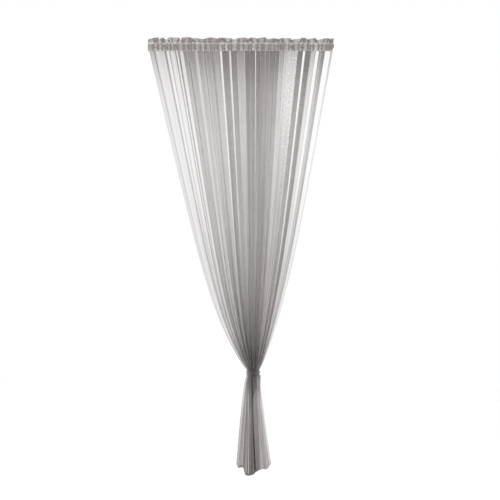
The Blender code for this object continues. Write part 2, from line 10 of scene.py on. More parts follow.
import bpy
import numpy as np
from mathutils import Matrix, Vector


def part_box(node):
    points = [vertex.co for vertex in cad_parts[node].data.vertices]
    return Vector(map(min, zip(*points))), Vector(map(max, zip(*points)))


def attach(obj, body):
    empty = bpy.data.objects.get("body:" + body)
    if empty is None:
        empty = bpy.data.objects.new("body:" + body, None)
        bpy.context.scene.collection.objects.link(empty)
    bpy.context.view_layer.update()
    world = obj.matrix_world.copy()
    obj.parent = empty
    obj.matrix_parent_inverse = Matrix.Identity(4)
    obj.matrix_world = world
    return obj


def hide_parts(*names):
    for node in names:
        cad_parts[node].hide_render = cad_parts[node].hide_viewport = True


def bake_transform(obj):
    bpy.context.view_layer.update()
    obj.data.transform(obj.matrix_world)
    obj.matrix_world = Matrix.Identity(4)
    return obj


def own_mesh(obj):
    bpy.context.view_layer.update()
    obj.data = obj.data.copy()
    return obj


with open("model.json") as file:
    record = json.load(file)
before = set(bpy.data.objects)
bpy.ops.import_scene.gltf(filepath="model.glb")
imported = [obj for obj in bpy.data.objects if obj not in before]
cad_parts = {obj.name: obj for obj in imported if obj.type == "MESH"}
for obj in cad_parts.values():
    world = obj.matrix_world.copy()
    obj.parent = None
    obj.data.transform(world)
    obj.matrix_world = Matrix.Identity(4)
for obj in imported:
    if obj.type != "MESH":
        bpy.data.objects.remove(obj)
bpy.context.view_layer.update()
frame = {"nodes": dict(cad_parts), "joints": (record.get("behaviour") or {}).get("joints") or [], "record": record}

bl_info = {
    "name": "Tied sheer curtain",
    "version": (1, 0, 0),
    "blender": (4, 5, 0),
    "location": "View3D > Sidebar > Curtain",
    "description": "Builds a gathered voile panel, its tie and its rod's finishes",
    "category": "Add Mesh",
}

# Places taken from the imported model
NECK_LOW, NECK_HIGH = (np.array(corner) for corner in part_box("tie_band"))
NECK = (NECK_LOW + NECK_HIGH) / 2.0
NECK_HALF = (NECK_HIGH - NECK_LOW) / 2.0
DRAPE_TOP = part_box("drape_panel")[1].z
POCKET_LEFT, POCKET_RIGHT = (corner.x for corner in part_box("rod_pocket_front"))
POCKET_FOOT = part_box("rod_pocket_front")[0].z
POCKET_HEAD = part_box("rod_pocket_front")[1].z
ROD_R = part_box("outer_tube")[1].z
RUFFLE_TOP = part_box("heading_ruffle")[1].z
TAIL_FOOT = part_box("bottom_hem")[0].z

# The flat folds of the cloth under the pocket, from left to right: width in millimetres, how
# many layers lie over each other, and how dense each layer looks (1 is plain voile)
FOLDS = (
    (21, 1, 1.5), (7, 3, 1.0), (44, 1, 1.0), (9, 3, 1.0), (12, 1, 0.4), (5, 3, 0.9),
    (23, 1, 0.9), (7, 3, 1.0), (6, 1, 0.4), (10, 3, 1.1), (15, 1, 0.7), (20, 3, 1.0),
    (7, 5, 1.0), (31, 3, 0.9), (10, 1, 1.5), (29, 3, 0.9), (7, 5, 1.0), (29, 3, 0.9),
    (10, 5, 0.8), (31, 3, 0.9), (8, 1, 0.3), (34, 5, 0.9), (9, 1, 1.0), (28, 5, 1.0),
    (37, 3, 0.8), (25, 7, 0.9), (24, 7, 0.8), (4, 1, 0.8), (22, 7, 0.8), (22, 5, 1.0),
    (20, 5, 0.9), (21, 5, 0.9), (8, 7, 1.0), (19, 5, 0.8), (13, 3, 0.65), (11, 3, 0.8),
    (30, 1, 1.2), (30, 1, 1.2), (25, 5, 1.0), (10, 1, 0.15), (27, 5, 1.0), (22, 1, 1.5),
    (15, 1, 0.1), (12, 3, 0.8), (18, 3, 1.0), (24, 1, 0.1), (12, 1, 1.2),
)
CRINKLED = (36, 37)  # the folds whose cloth stays finely creased
DENSER = slice(33, 42)  # the folds that gather a little more densely on their way down

# Soft bands of painted light and shade over the drape: turns over its width, strength, and where each starts
BANDS = ((7.3, 0.30, 0.4), (13.1, 0.35, 2.9), (23.7, 0.35, 1.1), (41.0, 0.25, 4.6))
# Small waves of every layer: turns along the cloth and up it, in radians per metre
WANDERS = ((37.0, 2.1), (61.0, -3.3), (95.0, 4.2), (143.0, 5.7))

# Curves, as rows of a place and a value. Depth is in metres below the rod
ROOM_BY_DEPTH = (
    (-DRAPE_TOP, 0.008), (0.8, 0.014), (1.45, 0.019), (-NECK_HIGH[2], NECK_HALF[1] - 0.005),
    (-NECK_LOW[2], NECK_HALF[1] - 0.005), (-NECK_LOW[2] + 0.1, 0.022), (-TAIL_FOOT, 0.030),
)
COVER_BY_DEPTH = (
    (0.03, 1.95), (0.08, 1.50), (0.16, 1.02), (0.28, 0.84), (0.50, 0.80), (0.85, 0.92),
    (1.20, 1.10), (1.40, 1.35), (1.50, 2.10), (1.57, 3.00), (1.70, 2.50), (2.05, 2.30),
)
# Painted shade and painted light down the panel, darkest just above the tie
SHADE_BY_DEPTH = (
    (0.03, 0.80), (0.15, 0.96), (0.45, 1.17), (0.90, 1.20), (1.20, 1.00), (1.40, 0.66),
    (1.52, 0.42), (1.62, 1.02), (1.72, 0.97), (1.87, 0.82), (2.10, 0.64),
)
# Painted light across the tail, from its left edge (0) to its right edge (1)
TAIL_LIGHT = (
    (0.0, 0.92), (0.06, 0.88), (0.19, 0.80), (0.31, 0.78), (0.44, 1.02),
    (0.56, 1.22), (0.69, 1.32), (0.81, 1.20), (0.94, 1.12), (1.0, 1.10),
)
# Across the hem in the same way: how far it hangs below the middle of the tie
HEM_DROP = (
    (0.0, 0.436), (0.02, 0.452), (0.06, 0.460), (0.17, 0.457), (0.20, 0.450), (0.225, 0.470),
    (0.26, 0.4985), (0.36, 0.4995), (0.48, 0.493), (0.62, 0.474), (0.70, 0.4715),
    (0.90, 0.466), (0.97, 0.448), (1.0, 0.436),
)
LOOSE = (0.0, 0.3)  # over this part of the tail the creases soften
FALLEN = (0.02, 0.45)  # over this part of the tail the folds come to lie back

CLOTH_SEED, HEADER_SEED = 11, 5
TIE_ROWS = 6  # rows of the cloth inside the tie
FINER = 3  # how many times more columns are worked out than are kept
CREASE_REACH, TAIL_REACH_X, TAIL_REACH_Y = 4, 14, 44  # smoothing, in those finer columns
SEAM_ROW = 8  # the point of the header's section where the seam over the rod is
SASH_WALL = 0.0032  # from the outside of the sash to the cloth in it
SASH_ROWS = 26
KNOT_ROWS, KNOT_COLUMNS = 30, 56
END_ROWS, END_COLUMNS = 60, 20
WIRE_ROWS, WIRE_COLUMNS = 24, 10  # rows for each turn of the spring, columns round its wire
STITCH = 0.0062  # from one stitch to the next
BRIGHT_THREAD = (0.279, 0.271, 0.269)  # the threads where much light falls on them
SHEEN_TINT = (1.0, 0.93, 0.92)
FLOOR_GREY, FLOOR_GLOW = 0.80, 0.20  # together as bright as the white room


# ---------------------------------------------------------------- shader maths


class Wire:
    """A node's output. Python's arithmetic on it adds Math nodes."""

    def __init__(self, finish, socket):
        self.finish = finish
        self.socket = socket

    def math(self, operation, *values):
        return self.finish.node("ShaderNodeMath", {"operation": operation}, values)

    def __add__(self, other):
        return self.math("ADD", self, other)

    def __sub__(self, other):
        return self.math("SUBTRACT", self, other)

    def __mul__(self, other):
        return self.math("MULTIPLY", self, other)

    def __radd__(self, other):
        return self.math("ADD", other, self)

    def __rsub__(self, other):
        return self.math("SUBTRACT", other, self)

    def __rmul__(self, other):
        return self.math("MULTIPLY", other, self)

    def __rpow__(self, other):
        return self.math("POWER", other, self)

    def sine(self):
        return self.math("SINE", self)

    def clamped(self, low, high):
        return self.math("MINIMUM", self.math("MAXIMUM", self, low), high)


class Finish:
    """A material whose Principled shader is fed by helper nodes."""

    def __init__(self, name, roughness, metallic=0.0, sheen=0.0):
        self.material = bpy.data.materials.new(name)
        self.material.use_nodes = True
        self.tree = self.material.node_tree
        self.shader = self.tree.nodes["Principled BSDF"]
        self.shader.inputs["Roughness"].default_value = roughness
        self.shader.inputs["Metallic"].default_value = metallic
        self.shader.inputs["Sheen Weight"].default_value = sheen
        self.shader.inputs["Sheen Roughness"].default_value = 0.5
        self.shader.inputs["Sheen Tint"].default_value = (*SHEEN_TINT, 1.0)

    def node(self, kind, settings=None, values=(), output=0):
        """Add a node: its settings first, then the values or wires of its sockets."""
        node = self.tree.nodes.new(kind)
        for key, value in (settings or {}).items():
            setattr(node, key, value)
        pairs = values.items() if isinstance(values, dict) else enumerate(values)
        for key, value in pairs:
            self.feed(node.inputs[key], value)
        return Wire(self, node.outputs[output])

    def feed(self, socket, value):
        if isinstance(value, Wire):
            self.tree.links.new(value.socket, socket)
        else:
            socket.default_value = value

    def set(self, name, value):
        self.feed(self.shader.inputs[name], value)

    def attribute(self, name):
        return self.node("ShaderNodeAttribute", {"attribute_name": name}, output="Fac")

    def place(self):
        return self.node("ShaderNodeTexCoord", output="Object")

    def cloth_map(self):
        return self.node("ShaderNodeUVMap", {"uv_map": "cloth"})

    def noise(self, vector, scale, detail=2.0, roughness=0.5):
        """Noise whose scale, per metre, may differ along each axis."""
        place = self.node("ShaderNodeMapping", {}, {"Vector": vector, "Scale": scale})
        values = {"Vector": place, "Scale": 1.0, "Detail": detail, "Roughness": roughness}
        return self.node("ShaderNodeTexNoise", {}, values)

    def mixed(self, factor, low, high):
        """A colour between two, by a wire from 0 to 1."""
        values = {0: factor, 6: low, 7: high}
        return self.node("ShaderNodeMix", {"data_type": "RGBA"}, values, output=2)

    def tint(self, factor, low, high):
        return self.mixed(factor, (*low, 1.0), (*high, 1.0))

    def shaded(self, colour, level):
        """A colour times a wire, darker or lighter."""
        grey = self.node("ShaderNodeCombineXYZ", {}, (level, level, level))
        return self.node("ShaderNodeVectorMath", {"operation": "MULTIPLY"}, (colour, grey))

    def bump(self, height, strength, distance):
        values = {"Height": height, "Strength": strength, "Distance": distance}
        self.set("Normal", self.node("ShaderNodeBump", {}, values))


def voile_finish(name, sizes, density=1.0):
    """Sheer plain-weave cloth: fine threads, uneven slubs, and alpha by how dense it hangs.

    What one layer lets through is raised to the power of its density, so that cloth seen in
    crowded folds covers more. Its colour is multiplied by the painted shade and painted light
    of the shade attribute, and where painted light makes it lighter it is also more neutral.
    """
    finish = Finish(name, roughness=0.85, sheen=sizes.sheen)
    cloth = finish.cloth_map()
    split = finish.node("ShaderNodeSeparateXYZ", {}, (cloth,))
    along = Wire(finish, split.socket.node.outputs[1])
    turns = math.tau / sizes.thread_pitch
    weave = (split * turns).sine() * (along * turns).sine()
    slub = finish.noise(cloth, (260.0, 6.0, 1.0), detail=3.0)
    cloud = finish.noise(cloth, (9.0, 2.5, 1.0))
    streak = finish.noise(cloth, (36.0, 0.4, 1.0))
    crease = finish.noise(cloth, (120.0, 70.0, 1.0), detail=3.0, roughness=0.7)
    crinkle = finish.attribute("crinkle") * (crease - 0.5) * 2.3
    dashes = (split * (math.tau / STITCH)).sine()
    stitch = finish.attribute("stitch") * (dashes * 2.0 + 0.5).clamped(0.0, 1.0)
    uneven = 1.0 + (slub - 0.5) * 0.9 + (cloud - 0.5) * 0.4 + weave * 0.15 + crinkle
    uneven = uneven + (streak - 0.5) * sizes.streak
    cover = finish.attribute("cover") * density * uneven.clamped(0.05, 4.0) + stitch * 2.0
    finish.set("Alpha", 1.0 - (1.0 - sizes.layer_cover) ** cover)
    pale = finish.tint(cloud, sizes.thread_dark, sizes.thread_light)
    # painted shade and painted light, which multiply the thread colour
    shade = finish.attribute("shade")
    # where painted light makes the cloth lighter, its colour turns towards a neutral grey
    paler = (shade - 0.85).clamped(0.0, 0.8)
    pale = finish.mixed(paler, pale, (*BRIGHT_THREAD, 1.0))
    finish.set("Base Color", finish.shaded(pale, shade * (1.0 + stitch * 0.5)))
    finish.bump(weave * 0.3 + slub + crinkle + stitch * 2.0, 0.35, 0.0006)
    finish.material.surface_render_method = "DITHERED"
    return finish.material


def paint_finish(name, colour, roughness, grain, metallic=0.0):
    """Powder coat, moulded plastic or rubber: a fine grain and slightly uneven gloss."""
    finish = Finish(name, roughness, metallic)
    place = finish.place()
    fine = finish.noise(place, (grain, grain, grain))
    broad = finish.noise(place, (14.0, 60.0, 60.0))
    dark = tuple(0.86 * c for c in colour)
    finish.set("Base Color", finish.tint(broad, dark, colour))
    finish.set("Roughness", (roughness + (broad - 0.5) * 0.25).clamped(0.08, 1.0))
    finish.bump(fine, 0.25, 0.0002)
    return finish.material


def wire_finish(name, colour):
    """Drawn spring steel: fine lines round the wire and small stains."""
    finish = Finish(name, 0.3, 1.0)
    place = finish.place()
    lines = finish.noise(place, (2600.0, 300.0, 300.0), detail=3.0)
    dark = tuple(0.6 * c for c in colour)
    finish.set("Base Color", finish.tint(lines, dark, colour))
    finish.set("Roughness", (0.18 + lines * 0.3).clamped(0.1, 0.7))
    finish.bump(lines, 0.2, 0.0001)
    return finish.material


# ---------------------------------------------------------------- mesh helpers


def grid_object(name, points, cloth_uv, values, closed_round=False):
    """A surface through a (rows, columns, 3) grid, with its cloth map and point values."""
    rows, columns = points.shape[:2]
    index = np.arange(rows * columns).reshape(rows, columns)
    if closed_round:
        index = np.concatenate([index, index[:, :1]], axis=1)
    quads = np.stack([index[:-1, :-1], index[1:, :-1], index[1:, 1:], index[:-1, 1:]], axis=-1)
    quads = quads.reshape(-1, 4)
    mesh = bpy.data.meshes.new(name)
    mesh.from_pydata(points.reshape(-1, 3).tolist(), [], quads.tolist())
    uv = mesh.uv_layers.new(name="cloth")
    uv.data.foreach_set("uv", cloth_uv.reshape(-1, 2)[quads.ravel()].astype(np.float32).ravel())
    for key, value in values.items():
        layer = mesh.attributes.new(key, "FLOAT", "POINT")
        filled = np.broadcast_to(value, (rows, columns)).astype(np.float32)
        layer.data.foreach_set("value", filled.ravel())
    mesh.shade_smooth()
    thing = bpy.data.objects.new(name, mesh)
    bpy.context.scene.collection.objects.link(thing)
    return thing


def softened(values, reach):
    """Smooth along the columns with a bell-shaped weight that reaches that many columns."""
    offsets = np.arange(-reach, reach + 1)
    weights = np.exp(-2.0 * (offsets / max(reach, 1)) ** 2)
    weights /= weights.sum()
    last = values.shape[1] - 1
    total = np.zeros_like(values)
    for offset, weight in zip(offsets, weights):
        total += weight * values[:, np.clip(np.arange(last + 1) + offset, 0, last)]
    return total


def smoothstep(low, high, values):
    share = np.clip((values - low) / (high - low), 0.0, 1.0)
    return share * share * (3.0 - 2.0 * share)


def bell(values, middle, half_width):
    """1 at the middle, falling away smoothly on both sides."""
    return np.exp(-(((values - middle) / half_width) ** 2))


def curve(places, rows):
    """Straight lines between rows of a place and a value."""
    at, values = zip(*rows)
    return np.interp(places, at, values)


def sizes_of(context, name):
    return getattr(context.scene, name)


# ---------------------------------------------------------------- curtain cloth


def cloth_rows(sizes):
    """Heights of the rows from the pocket to the hem, and how far each is down the tail (0 to 1).

    The rows above the tie lie closer together where the cloth bends more.
    """
    seam = DRAPE_TOP + sizes.seam_overlap
    fan = np.linspace(0.0, 1.0, sizes.fan_rows) ** 0.72
    fan = seam + (NECK_HIGH[2] + 0.004 - seam) * fan
    tie = np.linspace(NECK_HIGH[2], NECK_LOW[2], TIE_ROWS)
    tail = np.linspace(0.0, 1.0, sizes.tail_rows + 1)[1:]
    z = np.concatenate([fan, tie, NECK_LOW[2] + (TAIL_FOOT - NECK_LOW[2]) * tail])
    down_tail = np.concatenate([np.zeros(len(fan) + len(tie)), tail])[:, None]
    return z, down_tail


def drape_edges(sizes, z):
    """Left and right edges at heights z: a straight lean, and a late bend in to the tie."""
    full = DRAPE_TOP - (NECK_HIGH[2] + sizes.bulge_height)
    drop = np.clip(DRAPE_TOP - z, 0.0, full)
    left = POCKET_LEFT + sizes.top_margin
    right = POCKET_RIGHT - sizes.top_margin
    bundle = NECK_HALF[0] + sizes.bulge
    left_pinch = NECK[0] - bundle - left - sizes.left_slope * full
    right_pinch = right - sizes.right_slope * full - NECK[0] - bundle
    left = left + sizes.left_slope * drop + left_pinch * (drop / full) ** sizes.left_power
    right = right - sizes.right_slope * drop - right_pinch * (drop / full) ** sizes.right_power
    return left, right


def panel_edges(sizes, z, down_tail):
    """Left and right edges of all rows: the drape's, pinched in at the tie, then the tail's."""
    left, right = drape_edges(sizes, z)
    inside = NECK_HALF[0] - SASH_WALL
    pinch = smoothstep(NECK_HIGH[2] + 0.012, NECK_HIGH[2] - 0.002, z)
    left = left + (NECK[0] - inside - left) * pinch
    right = right + (NECK[0] + inside - right) * pinch
    above = z > NECK_HIGH[2] + 0.002
    flare = down_tail[:, 0]
    left = np.where(above, left, NECK[0] - inside - sizes.flare_left * flare**0.65)
    right = np.where(above, right, NECK[0] + inside + sizes.flare_right * flare)
    return left, right


def fold_widths(across, width, down_tail, random):
    """Each fold's cloth, and how much of it lies flat across each row.

    A fold takes its share of the row's width, and never more than its cloth. In the tail the
    shares come and go in a few broad waves. There the folds also lie back over each other in
    pairs, towards the middle: one goes further, and its neighbour comes back by as much.
    """
    count = len(across)
    number = np.arange(count)
    waves = np.maximum(0.0, np.cos(np.linspace(-0.6, 4.6, count) * math.tau))
    tail_share = across * (0.35 + waves * 1.6)
    tail_share /= tail_share.sum()
    share = across + (tail_share - across) * smoothstep(0.0, 0.5, down_tail)
    cloth = across * width[0, 0]
    narrowed = np.minimum(share * width, cloth)

    lay = random.uniform(0.55, 0.92, (count + 1) // 2).repeat(2)[:count]
    partner = np.minimum(number ^ 1, count - 1)
    reach = lay * np.minimum(cloth, cloth[partner])
    reach[partner == number] = 0.0
    inward = np.where(number < 0.45 * count, 1.0, -1.0)
    inward = np.where(number % 2 == 0, inward, -np.roll(inward, 1))
    fallen = smoothstep(*FALLEN, down_tail)
    most = 0.96 * cloth
    laid = np.clip(narrowed + reach * inward * fallen, -most, most)
    return cloth, np.where(fallen > 0.0, laid, narrowed)


def fold_depths(cloth, flat, z):
    """Where the ends of the folds lie from front to back, and how far each fold is turned.

    The cloth is the long side of a right triangle, its flat part one short side and its depth
    the other. Each fold runs to the back or to the front, whichever leads back to the middle.
    Every row is then scaled to the room that it has.
    """
    turned = np.sqrt(np.maximum(cloth**2 - flat**2, 0.0))
    signs = np.empty(len(cloth))
    walk = 0.0
    for n, piece in enumerate(cloth):
        signs[n] = -1.0 if walk > 0.0 else 1.0
        walk += signs[n] * piece
    steps = np.cumsum(signs * turned, axis=1)
    ends = np.concatenate([np.zeros((len(z), 1)), steps], axis=1)
    ends -= (ends.max(axis=1, keepdims=True) + ends.min(axis=1, keepdims=True)) / 2.0
    furthest = np.maximum(np.abs(ends).max(axis=1, keepdims=True), 1e-6)
    ends *= np.minimum(1.0, curve(-z, ROOM_BY_DEPTH)[:, None] / furthest)
    return ends, signs * (turned / cloth)


def folded_sheet(sizes, z, left, width, down_tail, random):
    """x, y, the fold's number and the place along the cloth at even steps, and its whole length.

    Each layer of each fold has two crease points, at its left and at its right end. The layers
    of a fold lie a gap apart, at right angles to it. Straight runs join the creases, and a
    bell-shaped weight rounds them, more so in the tail.
    """
    folds = np.array(FOLDS, float)
    layers = folds[:, 1].astype(int)
    cloth, flat = fold_widths(folds[:, 0] / folds[:, 0].sum(), width, down_tail, random)
    start = np.concatenate([np.zeros((len(z), 1)), np.cumsum(flat, axis=1)], axis=1)
    start = start / start[:, -1:]
    ends, tilt = fold_depths(cloth, flat, z)

    fold = np.repeat(np.arange(len(folds)), layers)
    layer = np.concatenate([np.arange(n) for n in layers])
    side = np.stack([layer % 2, 1 - layer % 2], axis=1).ravel()
    flip = np.where(random.random(len(folds)) < 0.5, -1.0, 1.0)
    offset = np.repeat((layer - (layers[fold] - 1) / 2.0) * flip[fold], 2)
    owner = np.repeat(fold, 2)
    gap = np.minimum(sizes.layer_gap, 0.8 * width / len(fold))
    x = left[:, None] + start[:, owner + side] * width - offset * gap * tilt[:, owner]
    y = ends[:, owner + side] + offset * gap * (flat / cloth)[:, owner]

    runs = np.full(2 * len(fold), sizes.layer_gap)
    runs[1::2] = cloth[fold]
    runs[0] = 0.0
    length = np.cumsum(runs)
    fine = np.linspace(0.0, length[-1], FINER * sizes.columns)
    before = np.clip(np.searchsorted(length, fine, side="right") - 1, 0, len(length) - 2)
    part = (fine - length[before]) / np.maximum(length[before + 1] - length[before], 1e-9)
    part = np.clip(part, 0.0, 1.0)
    x = x[:, before] * (1.0 - part) + x[:, before + 1] * part
    y = y[:, before] * (1.0 - part) + y[:, before + 1] * part
    loose = smoothstep(*LOOSE, down_tail)
    x = softened(x, CREASE_REACH) * (1.0 - loose) + softened(x, TAIL_REACH_X) * loose
    y = softened(y, CREASE_REACH) * (1.0 - loose) + softened(y, TAIL_REACH_Y) * loose
    kept = slice(1, None, FINER)
    return x[:, kept], y[:, kept], owner[before][kept], fine[kept], length[-1]


def cloth_looks(sizes, z, down_tail, across_x, y, owner, from_side):
    """How dense, how dark and how finely creased each point of the panel looks.

    Single layers gather into finer creases on the way down, so the stripes even out. The cloth
    is denser towards the tie and darker there by painted shade, with soft bands of painted light
    and shade over it. Lower down both sides get painted light, and in the tail painted light
    falls from the right and lifts the deep folds.
    """
    folds = np.array(FOLDS, float)
    depth = -z[:, None]
    creased = np.isin(owner, CRINKLED)
    crowded = 3.2 / (folds[:, 1] + 1.2) + 0.45
    crowded[DENSER] *= 1.1
    crowded[list(CRINKLED)] *= 2.2
    merged = smoothstep(0.45 - 0.25 * creased, 1.45 - 0.45 * creased, depth)
    cover = folds[owner, 2] + (crowded[owner] - folds[owner, 2]) * merged
    rim = smoothstep(0.05, 0.16, from_side)
    cover = cover * (1.0 + 0.42 * (rim - 1.0) * merged * (z > NECK_HIGH[2])[:, None])
    cover = cover * curve(depth, COVER_BY_DEPTH)

    # painted shade and painted light by depth below the rod
    shade = curve(depth, SHADE_BY_DEPTH)
    # painted light on both sides of the bundle, growing from the lower drape into the tail
    side_light = np.abs(2.0 * across_x - 1.0) ** 1.5
    shade = shade * (1.0 + 1.3 * side_light * smoothstep(1.0, 1.7, depth))
    # soft bands of painted light and shade across the drape
    bands = sum(
        level * np.sin(across_x * math.tau * turns + start) for turns, level, start in BANDS
    )
    banded = smoothstep(0.25, 0.9, depth) * (1.0 - 0.8 * smoothstep(*LOOSE, down_tail))
    shade = shade * (1.0 + 0.32 * bands * banded)
    # painted light across the tail, most on its right
    lit = curve(across_x, TAIL_LIGHT)
    shade = shade * (1.0 + (lit - 1.0) * smoothstep(0.1, 0.6, down_tail))
    # painted light that lifts the shade in the deep folds of the tail
    valley = np.clip(y, 0.0, 0.03) * smoothstep(*FALLEN, down_tail)
    shade = shade * (1.0 + sizes.valley_light * valley)
    crinkle = creased * smoothstep(1.0, 0.45, depth)
    return {"cover": cover, "shade": shade, "crinkle": crinkle, "stitch": np.zeros(y.shape)}


def curtain_points(sizes):
    """The folded panel as a grid of points, with its cloth map and its point values.

    Each fold is a stack of flat layers. The stacks stand side by side. Under the pocket they lie
    flat. Where the curtain narrows they turn on edge, by the angle whose cosine is the share of
    the width that is left, so the cloth keeps its length across. Neighbours turn opposite ways,
    which makes the pleats.
    """
    random = np.random.default_rng(CLOTH_SEED)
    z_rows, down_tail = cloth_rows(sizes)
    left, right = panel_edges(sizes, z_rows, down_tail)
    width = (right - left)[:, None]
    sheet = folded_sheet(sizes, z_rows, left, width, down_tail, random)
    x, y, owner, cloth_x, cloth_end = sheet

    # small wandering of every layer, broad waves in the tail, and the depth of the oval bundle
    wander = sum(
        np.sin(cloth_x * f + z_rows[:, None] * g + start)
        for (f, g), start in zip(WANDERS, random.random(len(WANDERS)) * math.tau)
    )
    calm = smoothstep(DRAPE_TOP, DRAPE_TOP - 0.12, z_rows)[:, None]
    y = y + 0.0009 * wander * calm
    across_x = (x - left[:, None]) / width
    waves = np.sin(across_x * math.tau * 2.7 + 0.9 + 0.8 * down_tail)
    y = y + waves * 0.010 * smoothstep(0.05, 0.8, down_tail)
    oval = np.sqrt(np.clip(1.0 - np.abs(2.0 * across_x - 1.0) ** 4, 0.06, 1.0))
    y = y * (1.0 + (oval - 1.0) * smoothstep(0.9, 1.5, -z_rows)[:, None])

    # the hem: cloth from the sides has further to go, so it hangs higher
    places = np.linspace(0.0, 1.0, 101)
    hem_line = softened(curve(places, HEM_DROP)[None, :], 3)[0]
    drop = np.interp(across_x[-1], places, hem_line) - NECK_HALF[2]
    z = np.where(down_tail > 0.0, NECK_LOW[2] - down_tail * drop, z_rows[:, None])

    from_side = np.minimum(cloth_x, cloth_end - cloth_x)
    values = cloth_looks(sizes, z_rows, down_tail, across_x, y, owner, from_side)
    fall = np.concatenate([[0.0], np.cumsum(np.abs(np.diff(z.mean(axis=1))))])
    cloth_uv = np.stack(np.broadcast_arrays(cloth_x[None, :], fall[:, None]), axis=-1)
    return np.stack([x, y, z], axis=-1), cloth_uv, values


def with_turned_hem(points, cloth_uv, values, depth):
    """Add rows that turn the foot of a grid up behind itself, for a hem of that depth."""
    shares = np.array([0.0, 0.25, 1.0])[:, None]
    foot = points[-1:]
    turned = np.repeat(foot, 3, axis=0)
    turned[..., 2] += depth * shares
    turned[..., 1] += 0.0012
    above = cloth_uv[-1:] + np.stack(np.broadcast_arrays(0.0, depth * shares), axis=-1)
    points = np.concatenate([points, turned], axis=0)
    cloth_uv = np.concatenate([cloth_uv, above], axis=0)
    values = {k: np.concatenate([v, np.repeat(v[-1:], 3, axis=0)]) for k, v in values.items()}
    return points, cloth_uv, values


class CURTAIN_OT_cloth(bpy.types.Operator):
    """Hang the folded panel from the pocket through the tie to its hem"""

    bl_idname = "curtain.cloth"
    bl_label = "Curtain cloth"

    def execute(self, context):
        sizes = sizes_of(context, "curtain_cloth")
        cloth = grid_object("curtain_cloth", *with_turned_hem(*curtain_points(sizes), sizes.hem))
        cloth.data.materials.append(voile_finish("voile", sizes))
        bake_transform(cloth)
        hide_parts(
            "drape_panel",
            "left_side_hem",
            "right_side_hem",
            "tail_panel",
            "tail_left_hem",
            "tail_right_hem",
            "bottom_hem",
        )
        return {"FINISHED"}


# ---------------------------------------------------------------- header


def pleat_edges(random, low, high, start, end):
    """Uneven pleats from start to end, whose widths lie between low and high."""
    widths = random.uniform(low, high, int(2.0 * (end - start) / low) + 4)
    edges = start + np.concatenate([[0.0], np.cumsum(widths)])
    return edges[: np.searchsorted(edges, end) + 1]


def pleats(random, low, high, x):
    """How far x is through its pleat (0 to 1), the pleat's width and its own random height."""
    edges = pleat_edges(random, low, high, x[0], x[-1])
    which = np.clip(np.searchsorted(edges, x, side="right") - 1, 0, len(edges) - 2)
    width = edges[which + 1] - edges[which]
    height = random.uniform(0.45, 1.0, len(edges))[which]
    return (x - edges[which]) / width, width, height


